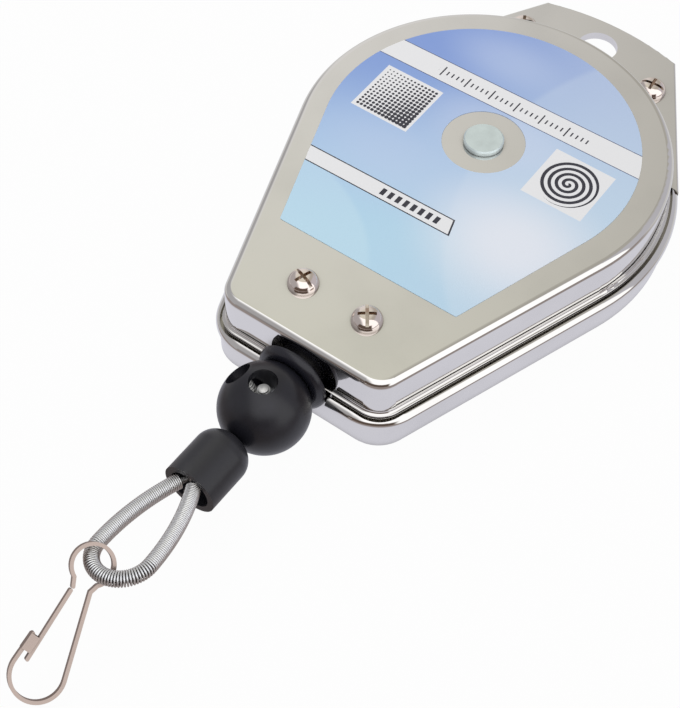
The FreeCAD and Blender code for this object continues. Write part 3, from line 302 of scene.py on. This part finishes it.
def printed_film():
    """The face film: a blue fade with pale clouds, white bands, a tick scale and two emblems."""
    made = Finish("printed_film", IOR=1.48, Coat_Roughness=0.12)
    at = made.place()
    x, y, _ = made.axes(at)
    x, y = x / MM, y / MM
    white = rgb(0.88, 0.88, 0.89)
    ink = rgb(0.035, 0.035, 0.05)

    def clouded(base, clouds):
        for centre_x, centre_y, wide, tall, edge, strength, colour in clouds:
            across = (x - centre_x) / wide
            along = (y - centre_y) / tall
            off = (across * across + along * along).root()
            glow = 1.0 - off.soft_step(1.0 - edge, 1.0)
            base = made.colours(glow * strength, base, rgb(*colour))
        return base

    def span(value, low, high):
        return (value > low) * (value < high)

    def panel(centre, half):
        return abs(x - centre[0]).either(abs(y - centre[1])) < half

    def dots(centre, half, step):
        """A square of round dots that shrink away from one corner."""
        across = ((x - centre[0] + half) % step) - step / 2
        along = ((y - centre[1] + half) % step) - step / 2
        size = 0.2 + ((x - centre[0]) - (y - centre[1]) + 2 * half) / (4 * half) * (step * 0.42)
        return ((across * across + along * along).root() < size) * panel(centre, half)

    def rings(centre, reach, step):
        """A wound spring's turns, as one plain spiral."""
        across, along = x - centre[0], y - centre[1]
        off = (across * across + along * along).root()
        turn = along.maths("ARCTAN2", across) / math.tau
        return (((off + turn * step) % step) < step * 0.5) * (off < reach)

    fade = (y * 0.8 - x * 0.45).soft_step(-36.0, 36.0)
    base = made.colours(fade, rgb(0.50, 0.74, 0.90), rgb(0.25, 0.37, 0.74))
    base = clouded(base, UPPER_CLOUDS)
    paler = (x + y * 0.25).soft_step(-28.0, 36.0) * 0.5
    base = made.colours(paler, base, rgb(0.62, 0.72, 0.87))
    base = clouded(base, LOWER_CLOUDS)

    slope = y - x * BAND_LEAN
    band = span(slope, BAND_LOW, BAND_HIGH)
    band_foot = span(slope, BAND_LOW - BAND_LINE, BAND_LOW)
    band_head = span(slope, BAND_HIGH, BAND_HIGH + BAND_LINE)
    slant = (slope - SHORT_HIGH) * SHORT_SLANT
    short = span(slope, SHORT_LOW, SHORT_HIGH) * (SHORT_END - slant - x > 0.0)
    short_edge = span(slope, SHORT_LOW - SHORT_LINE, SHORT_HIGH + SHORT_LINE)
    short_edge = short_edge * (SHORT_END + SHORT_END_LINE - slant - x > 0.0)
    base = made.colours(short_edge, base, ink)
    base = made.colours(band.either(short), base, white)
    base = made.colours(band_foot.either(band_head), base, rgb(0.10, 0.12, 0.22))
    ticks = ((x % TICK_STEP) < TICK_WIDE) * span(slope, 15.4, 17.0)
    long_ticks = ((x % LONG_TICK_STEP) < TICK_WIDE) * span(slope, 14.4, 18.2)
    bars = ((x % BAR_STEP) < BAR_WIDE) * span(slope, -31.9, -29.5) * span(x, -12.0, 6.4)
    base = made.colours(ticks.either(long_ticks) * span(x, -25.2, 23.2) + bars, base, ink)

    base = made.colours(panel(DOT_PANEL, PANEL_HALF), base, white)
    base = made.colours(dots(DOT_PANEL, DOTS_HALF, DOT_STEP), base, ink)
    base = made.colours(panel(RING_PANEL, PANEL_HALF), base, white)
    base = made.colours(rings(RING_PANEL, RINGS_REACH, RING_STEP), base, ink)
    made.set(Base_Color=base)
    grain = made.noise(at, 700.0, 3.0)
    made.set(Roughness=0.28 + grain * 0.12, Normal=made.bump(made.noise(at, 60.0, 2.0), 0.05, 0.0003))
    return made.material


# The last number of a plating finish is the share of its tint kept in its painted seam shade.
FINISHES = {
    "case_chrome": chrome("case_chrome", (0.84, 0.83, 0.81), 0.03, 0.09, 0.008),
    "plate_chrome": chrome("plate_chrome", (0.83, 0.82, 0.80), 0.04, 0.10, 0.01),
    "sticker": printed_film(),
    "screw_nickel": chrome("screw_nickel", (0.90, 0.81, 0.76), 0.05, 0.12, 0.05, 0.55),
    "zinc_steel": turned_steel("zinc_steel", (0.62, 0.64, 0.66), 0.25),
    "black_plastic": moulded("black_plastic", (0.013, 0.013, 0.020), 0.24, 2400.0, 0.05),
    "bronze": bronze(),
    "wire_rope": turned_steel("wire_rope", (0.62, 0.62, 0.61), 0.28),
    "ground_steel": turned_steel("ground_steel", (0.58, 0.58, 0.60), 0.24),
    "cap_zinc": turned_steel("cap_zinc", (0.76, 0.86, 0.86), 0.26, 500.0, 0.6),
    "drum_plastic": moulded("drum_plastic", (0.62, 0.60, 0.55), 0.40, 1800.0, 0.08),
    "spring_steel": turned_steel("spring_steel", (0.34, 0.38, 0.46), 0.22),
    "black_rubber": moulded("black_rubber", (0.013, 0.013, 0.018), 0.28, 1600.0, 0.08),
    "screw_zinc": turned_steel("screw_zinc", (0.90, 0.90, 0.88), 0.36, metal=0.5),
    "guard_wire": chrome("guard_wire", (0.94, 0.96, 0.98), 0.32, 0.42, 0.02, 0.85),
    "ferrule_alloy": turned_steel("ferrule_alloy", (0.72, 0.72, 0.72), 0.32),
    "black_sleeve": moulded("black_sleeve", (0.024, 0.024, 0.029), 0.28, 1900.0, 0.06),
    "hook_nickel": chrome("hook_nickel", (0.44, 0.36, 0.32), 0.14, 0.26, 0.20),
}


def dress_frame():
    """Give each solid of the frame the finish of its own slot."""
    slots = {part["node"]: part["material_slot"] for part in frame["record"]["subparts"]}
    for name, thing in nodes.items():
        finish = FINISHES[slots[name]]
        thing.data.materials.clear()
        thing.data.materials.append(finish)


# --------------------------------------------------------------- mesh making

def smooth_mesh(name, verts, faces):
    mesh = bpy.data.meshes.new(name)
    mesh.from_pydata(verts, [], faces)
    mesh.shade_smooth()
    return mesh


def skin(rings, sides):
    """The faces between rings of points, with both ends closed."""
    faces = []
    for index in range(rings - 1):
        for step in range(sides):
            here, after = index * sides + step, index * sides + (step + 1) % sides
            faces.append((here, after, after + sides, here + sides))
    last = (rings - 1) * sides
    faces.append(tuple(reversed(range(sides))))
    faces.append(tuple(range(last, last + sides)))
    return faces


def tube_mesh(name, line, radius, sides):
    """A smooth round wire along a list of points."""
    verts = []
    side = (line[1] - line[0]).orthogonal().normalized()
    for index, point in enumerate(line):
        ahead = line[min(index + 1, len(line) - 1)]
        behind = line[max(index - 1, 0)]
        along = (ahead - behind).normalized()
        side = (side - along * side.dot(along)).normalized()
        other = along.cross(side)
        for step in range(sides):
            turn = math.tau * step / sides
            verts.append(point + (side * math.cos(turn) + other * math.sin(turn)) * radius)
    return smooth_mesh(name, verts, skin(len(line), sides))


def add_piece(name, mesh, finish, body, *stands_for):
    """Put a mesh in the scene with its finish, body and the solids that it stands for."""
    piece = bpy.data.objects.new(name, mesh)
    bpy.context.scene.collection.objects.link(piece)
    piece.data.materials.append(FINISHES[finish])
    if body:
        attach(piece, body)
    if stands_for:
        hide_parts(*stands_for)
    return piece


def joined(name, meshes):
    """One mesh out of several."""
    verts, faces = [], []
    for mesh in meshes:
        start = len(verts)
        verts.extend(vertex.co.copy() for vertex in mesh.vertices)
        faces.extend(tuple(start + index for index in face.vertices) for face in mesh.polygons)
    return smooth_mesh(name, verts, faces)


# ------------------------------------------------------------ wire guard coil

LOOP_RADIUS = 7.5 * MM
LOOP_REACH = 24.7 * MM
LOOP_MOUTH = 2.25 * MM
LOOP_SIDE = 0.9 * MM
LOOP_LIFT = 1.5 * MM
GUARD_RADIUS = 2.0 * MM
GUARD_INSET = 0.25 * MM
COIL_WIRE = 0.50 * MM
COIL_STEPS = 18                    # points in one turn of the coil
COIL_PLAY = 1.02                   # pitch of the coil in wire widths, on the straight
COIL_SPREAD = 0.24                 # what the pitch gains round the bend
WIRE_SIDES = 8
LOOP_STEPS = 200
LOOP_TURN = (-8.0, -10.0, 4.4)     # pitch, roll and yaw of the loop, in degrees


def loop_frame():
    """The loop's own axes: X across it, -Y out of the sleeve, from the middle of the sleeve's mouth."""
    low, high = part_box("end_sleeve")
    mouth = Vector(((low.x + high.x) / 2 - LOOP_SIDE, low.y, (low.z + high.z) / 2 + LOOP_LIFT))
    pitch, roll, yaw = (math.radians(turn) for turn in LOOP_TURN)
    turned = Matrix.Rotation(yaw, 4, "Z") @ Matrix.Rotation(pitch, 4, "X") @ Matrix.Rotation(roll, 4, "Y")
    return Matrix.Translation(mouth) @ turned


def loop_line():
    """The loop's middle line as (point, outward direction, bend), in its own axes."""
    bulge = LOOP_RADIUS - LOOP_MOUTH
    side = (bulge ** 2 + LOOP_REACH ** 2) / (2 * bulge)
    lean = math.asin(LOOP_REACH / side)
    centre = Vector((side - LOOP_RADIUS, -LOOP_REACH, 0))
    points = []
    for step in range(LOOP_STEPS + 1):
        turn = lean * (1 - step / LOOP_STEPS)
        out = Vector((-math.cos(turn), math.sin(turn), 0))
        points.append((centre + out * side, out, 0.0))
    first = points[0]
    inward = Vector((math.sin(lean), math.cos(lean), 0))
    points.insert(0, (first[0] + inward * GUARD_INSET, first[1], 0.0))
    bottom = Vector((0, -LOOP_REACH, 0))
    for step in range(1, LOOP_STEPS):
        turn = math.pi * step / LOOP_STEPS
        out = Vector((-math.cos(turn), -math.sin(turn), 0))
        points.append((bottom + out * LOOP_RADIUS, out, 1.0))
    for point, out, bend in reversed(points[:LOOP_STEPS + 2]):
        points.append((Vector((-point.x, point.y, 0)), Vector((-out.x, out.y, 0)), bend))
    return points


def at_length(line, lengths, wanted, start):
    """The line's place at one length along it; start is where to look from."""
    index = start
    while index < len(lengths) - 2 and lengths[index + 1] < wanted:
        index += 1
    share = (wanted - lengths[index]) / (lengths[index + 1] - lengths[index])
    here, after = line[index], line[index + 1]
    out = (here[1].lerp(after[1], share)).normalized()
    return index, here[0].lerp(after[0], share), out, here[2] + (after[2] - here[2]) * share


def make_guard_coil():
    """The close-wound wire guard; its turns open up round the loop's tight end."""
    line = loop_line()
    lengths = [0.0]
    for before, after in zip(line, line[1:]):
        lengths.append(lengths[-1] + (after[0] - before[0]).length)
    up = Vector((0, 0, 1))
    wind = GUARD_RADIUS - COIL_WIRE / 2
    points, travelled, turn, index = [], 0.0, 0.0, 0
    where = loop_frame()
    while travelled < lengths[-1]:
        index, point, out, bend = at_length(line, lengths, travelled, index)
        points.append(where @ (point + (out * math.cos(turn) + up * math.sin(turn)) * wind))
        pitch = COIL_WIRE * (COIL_PLAY + COIL_SPREAD * bend)
        turn += math.tau / COIL_STEPS
        travelled += pitch / COIL_STEPS
    coil = tube_mesh("guard_coil", points, COIL_WIRE / 2, WIRE_SIDES)
    add_piece("guard_coil", coil, "guard_wire", "rope_end", "loop_guard")


# ---------------------------------------------------------- clamp screw thread

STOP_SCREW_RADIUS = 1.75 * MM
STOP_SCREW_LOW = 1.25 * MM
STOP_SCREW_HIGH = 8.6 * MM
THREAD_PITCH = 0.7 * MM
THREAD_DEEP = 0.34 * MM
THREAD_STEPS = 96
THREAD_SIDES = 24
POINT_LONG = 0.6 * MM
POINT_TAPER = 0.9
SECOND_SCREW_TURN = 45.0


def thread_mesh(name, start, along, long):
    """A threaded stem with a coned point at its outer end."""
    side = along.orthogonal().normalized()
    other = along.cross(side)
    verts = []
    for step in range(THREAD_STEPS + 1):
        travelled = long * step / THREAD_STEPS
        blunt = max(0.0, travelled - (long - POINT_LONG)) * POINT_TAPER
        for number in range(THREAD_SIDES):
            share = number / THREAD_SIDES
            flank = abs((travelled / THREAD_PITCH - share) % 1.0 - 0.5) * 2
            radius = STOP_SCREW_RADIUS - THREAD_DEEP * flank - blunt
            turn = math.tau * share
            out = side * math.cos(turn) + other * math.sin(turn)
            verts.append(start + along * travelled + out * radius)
    return smooth_mesh(name, verts, skin(THREAD_STEPS + 1, THREAD_SIDES))


def sleeve_middle():
    """Where the rope's own line lies: across and up."""
    low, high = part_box("end_sleeve")
    return (low.x + high.x) / 2, (low.z + high.z) / 2


def make_stop_screws():
    """The two clamp screws in the ball, with their threads."""
    low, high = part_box("ball_stop")
    across, level = sleeve_middle()
    centre = Vector((across, (low.y + high.y) / 2, level))
    lean = math.radians(SECOND_SCREW_TURN)
    meshes = []
    for number, out in enumerate((Vector((0, 0, 1)), Vector((-math.sin(lean), 0, math.cos(lean))))):
        start = centre + out * STOP_SCREW_LOW
        long = STOP_SCREW_HIGH - STOP_SCREW_LOW
        meshes.append(thread_mesh(f"clamp_screw_{number}", start, out, long))
    threads = joined("clamp_screws", meshes)
    add_piece("clamp_screws", threads, "screw_zinc", "rope_end", "stop_screws")


# ------------------------------------------------------------------ wire rope

ROPE_RADIUS = 1.15 * MM
STRANDS = 6
STRAND_SHARE = 0.355               # a strand's radius in rope radii
STRAND_SIDES = 6
ROPE_LAY = 1.6 * MM
ROPE_STEPS = 320
ROPE_KNEE = 3.5 * MM               # how far above the sleeve the rope's end stops


def rope_mesh(name, start, end):
    """A straight wire rope: strands wound round a core."""
    strand = ROPE_RADIUS * STRAND_SHARE
    wind = ROPE_RADIUS - strand
    along = end - start
    side = along.orthogonal().normalized()
    other = along.normalized().cross(side)
    turns = along.length / ROPE_LAY
    meshes = []
    for number in range(STRANDS):
        line = []
        for step in range(ROPE_STEPS + 1):
            share = step / ROPE_STEPS
            turn = math.tau * (number / STRANDS + turns * share)
            out = side * math.cos(turn) + other * math.sin(turn)
            line.append(start + along * share + out * wind)
        meshes.append(tube_mesh(f"{name}_{number}", line, strand, STRAND_SIDES))
    core = [start + along * step / ROPE_STEPS for step in range(ROPE_STEPS + 1)]
    meshes.append(tube_mesh(f"{name}_core", core, strand, STRAND_SIDES))
    return joined(name, meshes)


def make_rope_tail():
    """The rope below the guide, as one straight length of wire rope."""
    _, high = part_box("rope_tail")
    _, sleeve_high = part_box("end_sleeve")
    _, level = sleeve_middle()
    start = Vector((0, high.y, level))
    knee = Vector((0, sleeve_high.y - ROPE_KNEE, level))
    mesh = rope_mesh("rope_strands", start, knee)
    piece = add_piece("rope_strands", mesh, "wire_rope", None, "rope_tail")
    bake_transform(piece)


# -------------------------------------------------------------- stage, lights

AWAY_NORTH, AWAY_WEST = 0.816, 0.578   # the way from the eye to the object, laid flat
FLOOR_HALF = 3.0
FLOOR_DROP = 0.2 * MM
FLOOR_MIDDLE = -16.0 * MM          # the middle of the case's outline along Y
FLOOR_SQUEEZE = 0.79               # the outline's width over its length
BESIDE, BEYOND = 70.0 * MM, 94.0 * MM


def make_floor():
    """A plain pale floor, white to the eye; the plating shows it pale close by and brown in front."""
    half = FLOOR_HALF
    level = case_box[0][2] - FLOOR_DROP
    corners = [(-half, -half, level), (half, -half, level), (half, half, level), (-half, half, level)]
    mesh = bpy.data.meshes.new("floor")
    mesh.from_pydata(corners, [], [(0, 1, 2, 3)])
    floor = bpy.data.objects.new("floor", mesh)
    bpy.context.scene.collection.objects.link(floor)
    made = Finish("floor_white", Base_Color=rgb(0.62, 0.61, 0.62), Roughness=0.9, Specular_IOR_Level=0.0)
    x, y, _ = made.axes(made.place())
    along = (y - FLOOR_MIDDLE) * FLOOR_SQUEEZE
    off = (x * x + along * along).root()
    front = (x * AWAY_WEST - y * AWAY_NORTH).soft_step(-10.0 * MM, 50.0 * MM)
    away = made.colours(front, rgb(0.66, 0.65, 0.64), rgb(0.29, 0.24, 0.225))
    beside = made.colours(off.soft_step(BESIDE, BEYOND), rgb(0.72, 0.72, 0.80), away)
    camera, glossy = made.rays()
    seen = made.colours(glossy, rgb(1.0, 1.0, 1.0), beside)
    values = {"Base Color": rgb(0, 0, 0), "Specular IOR Level": 0.0}
    values.update({"Emission Color": seen, "Emission Strength": 1.0})
    shown = made.node("ShaderNodeBsdfPrincipled", values=values)
    lit = Wire(made, made.shader.outputs[0])
    share = camera * 0.97 + glossy * 0.9
    mixed = made.node("ShaderNodeMixShader", values={0: share, 1: lit, 2: shown})
    made.join(made.nodes["Material Output"].inputs["Surface"], mixed)
    floor.data.materials.append(made.material)


def make_world():
    """An even pale room; the plating shows a warm ceiling, a white screen and a dark low front."""
    world = bpy.data.worlds.new("studio")
    bpy.context.scene.world = world
    tree = Tree(world)
    sky = tree.nodes["Background"]
    toward = tree.node("ShaderNodeTexCoord", output="Generated")
    east, north, up = tree.axes(toward)
    far = north * AWAY_NORTH - east * AWAY_WEST
    right = east * AWAY_NORTH + north * AWAY_WEST

    room = tree.colours(up.soft_step(0.62, 0.86), rgb(0.76, 0.745, 0.73), rgb(0.70, 0.69, 0.60))
    room = tree.colours(right.soft_step(-0.05, 0.36), room, rgb(0.44, 0.42, 0.38))
    room = tree.colours(right.soft_step(0.48, 0.66), room, rgb(0.52, 0.51, 0.55))
    room = tree.colours((-0.26 - right).soft_step(0.0, 0.2), room, rgb(0.42, 0.41, 0.42))

    near = (0.20 - far - right * 0.35).soft_step(0.0, 0.05) * right.soft_step(-0.62, -0.30)
    over = up.soft_step(0.40, 0.50)
    beside = right.soft_step(0.42, 0.55) * up.soft_step(0.0, 0.04)
    room = tree.colours(near * over.either(beside), room, rgb(1.25, 1.24, 1.25))

    low = (0.58 - up).soft_step(0.0, 0.14)
    front = (-0.45 - far).soft_step(0.0, 0.15) * low * (0.60 - right).soft_step(0.0, 0.2)
    room = tree.colours(front, room, rgb(0.11, 0.08, 0.065))

    camera, glossy = tree.rays()
    plain = tree.colours(camera, rgb(0.50, 0.50, 0.505), rgb(1.0, 1.0, 1.0))
    tree.join(sky.inputs["Color"], tree.colours(glossy, plain, room))


def add_lamp(name, place, aim, size, power):
    """A soft square lamp that the plating doesn't show."""
    lamp = bpy.data.lights.new(name, "AREA")
    lamp.shape = "RECTANGLE"
    lamp.size, lamp.size_y = size
    lamp.energy = power
    thing = bpy.data.objects.new(name, lamp)
    bpy.context.scene.collection.objects.link(thing)
    thing.location = place
    thing.rotation_euler = (Vector(aim) - Vector(place)).to_track_quat("-Z", "Y").to_euler()
    thing.visible_glossy = False


CAMERA_PLACE = (0.1463, -0.2717, 0.3486)
CAMERA_FORWARD = (-0.3392, 0.4784, -0.8100)
CAMERA_RIGHT = (0.8074, 0.5899, 0.0102)
CAMERA_LENS = 86.54                # millimetres, on a 36 mm wide sensor


def make_camera():
    """Above the rope's end and to the right of it, rolled so that the case leans."""
    lens = bpy.data.cameras.new("camera")
    lens.sensor_fit = "HORIZONTAL"
    lens.sensor_width = 36.0
    lens.lens = CAMERA_LENS
    lens.clip_start = 0.01
    camera = bpy.data.objects.new("camera", lens)
    bpy.context.scene.collection.objects.link(camera)
    forward = Vector(CAMERA_FORWARD).normalized()
    right = Vector(CAMERA_RIGHT)
    right = (right - forward * right.dot(forward)).normalized()
    above = right.cross(forward)
    turned = Matrix((right, above, -forward)).transposed().to_4x4()
    camera.matrix_world = Matrix.Translation(CAMERA_PLACE) @ turned
    bpy.context.scene.camera = camera


bpy.context.scene.view_settings.view_transform = "Standard"
make_camera()
make_world()
make_floor()
add_lamp("key", (-0.45, 0.10, 0.75), (0, -0.05, 0), (0.5, 0.5), 3.0)
add_lamp("fill", (0.60, -0.30, 0.50), (0, -0.08, 0), (0.4, 0.6), 1.0)
dress_frame()
make_guard_coil()
make_rope_tail()
make_stop_screws()
